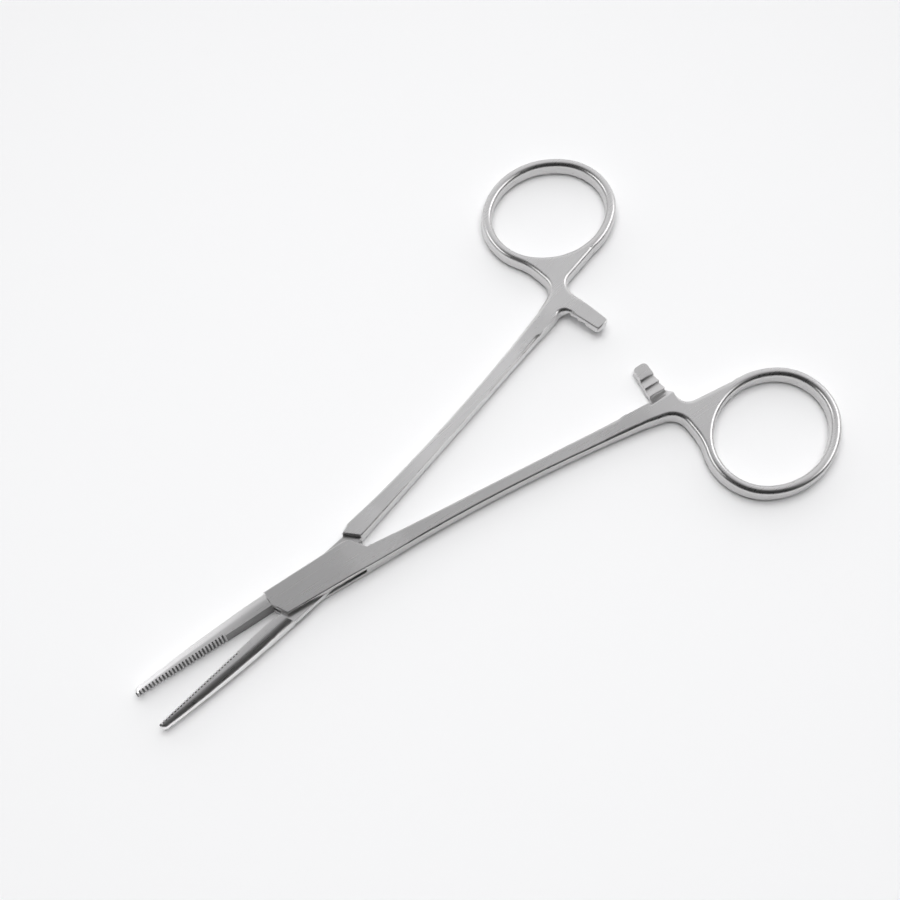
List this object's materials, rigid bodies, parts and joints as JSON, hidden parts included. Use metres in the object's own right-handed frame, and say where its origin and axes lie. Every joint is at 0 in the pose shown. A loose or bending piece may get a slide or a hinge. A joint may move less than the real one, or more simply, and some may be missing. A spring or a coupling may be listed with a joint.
{
  "type": "hemostat forceps",
  "caption": "Straight steel hemostat with a box lock, ratchet arms, serrated tapered jaws and oval finger rings, lying slightly open.",
  "frame": {"origin": "on the hinge axis, on the plane of the box's underside", "axes": "+X along the middle line between the two halves, from the jaws towards the finger rings; +Y across, towards the ring of the tongue half; +Z along the hinge pin, up"},
  "size_m": [0.1353, 0.0884, 0.0042],
  "materials": {
    "satin_steel": "fine satin brushed stainless steel",
    "pin_steel": "ground flush with the box"
  },
  "bodies": {
    "box_side": {"box_half": "satin_steel", "pivot_pin": "pin_steel"},
    "tongue_side": {"tongue_half": "satin_steel"}
  },
  "joints": [
    {"name": "box_lock_hinge", "type": "hinge", "parent": "box_side", "child": "tongue_side", "pos_m": [0, 0, 0], "axis": [0, 0, 1], "range_deg": [-9.9, 40]}
  ]
}
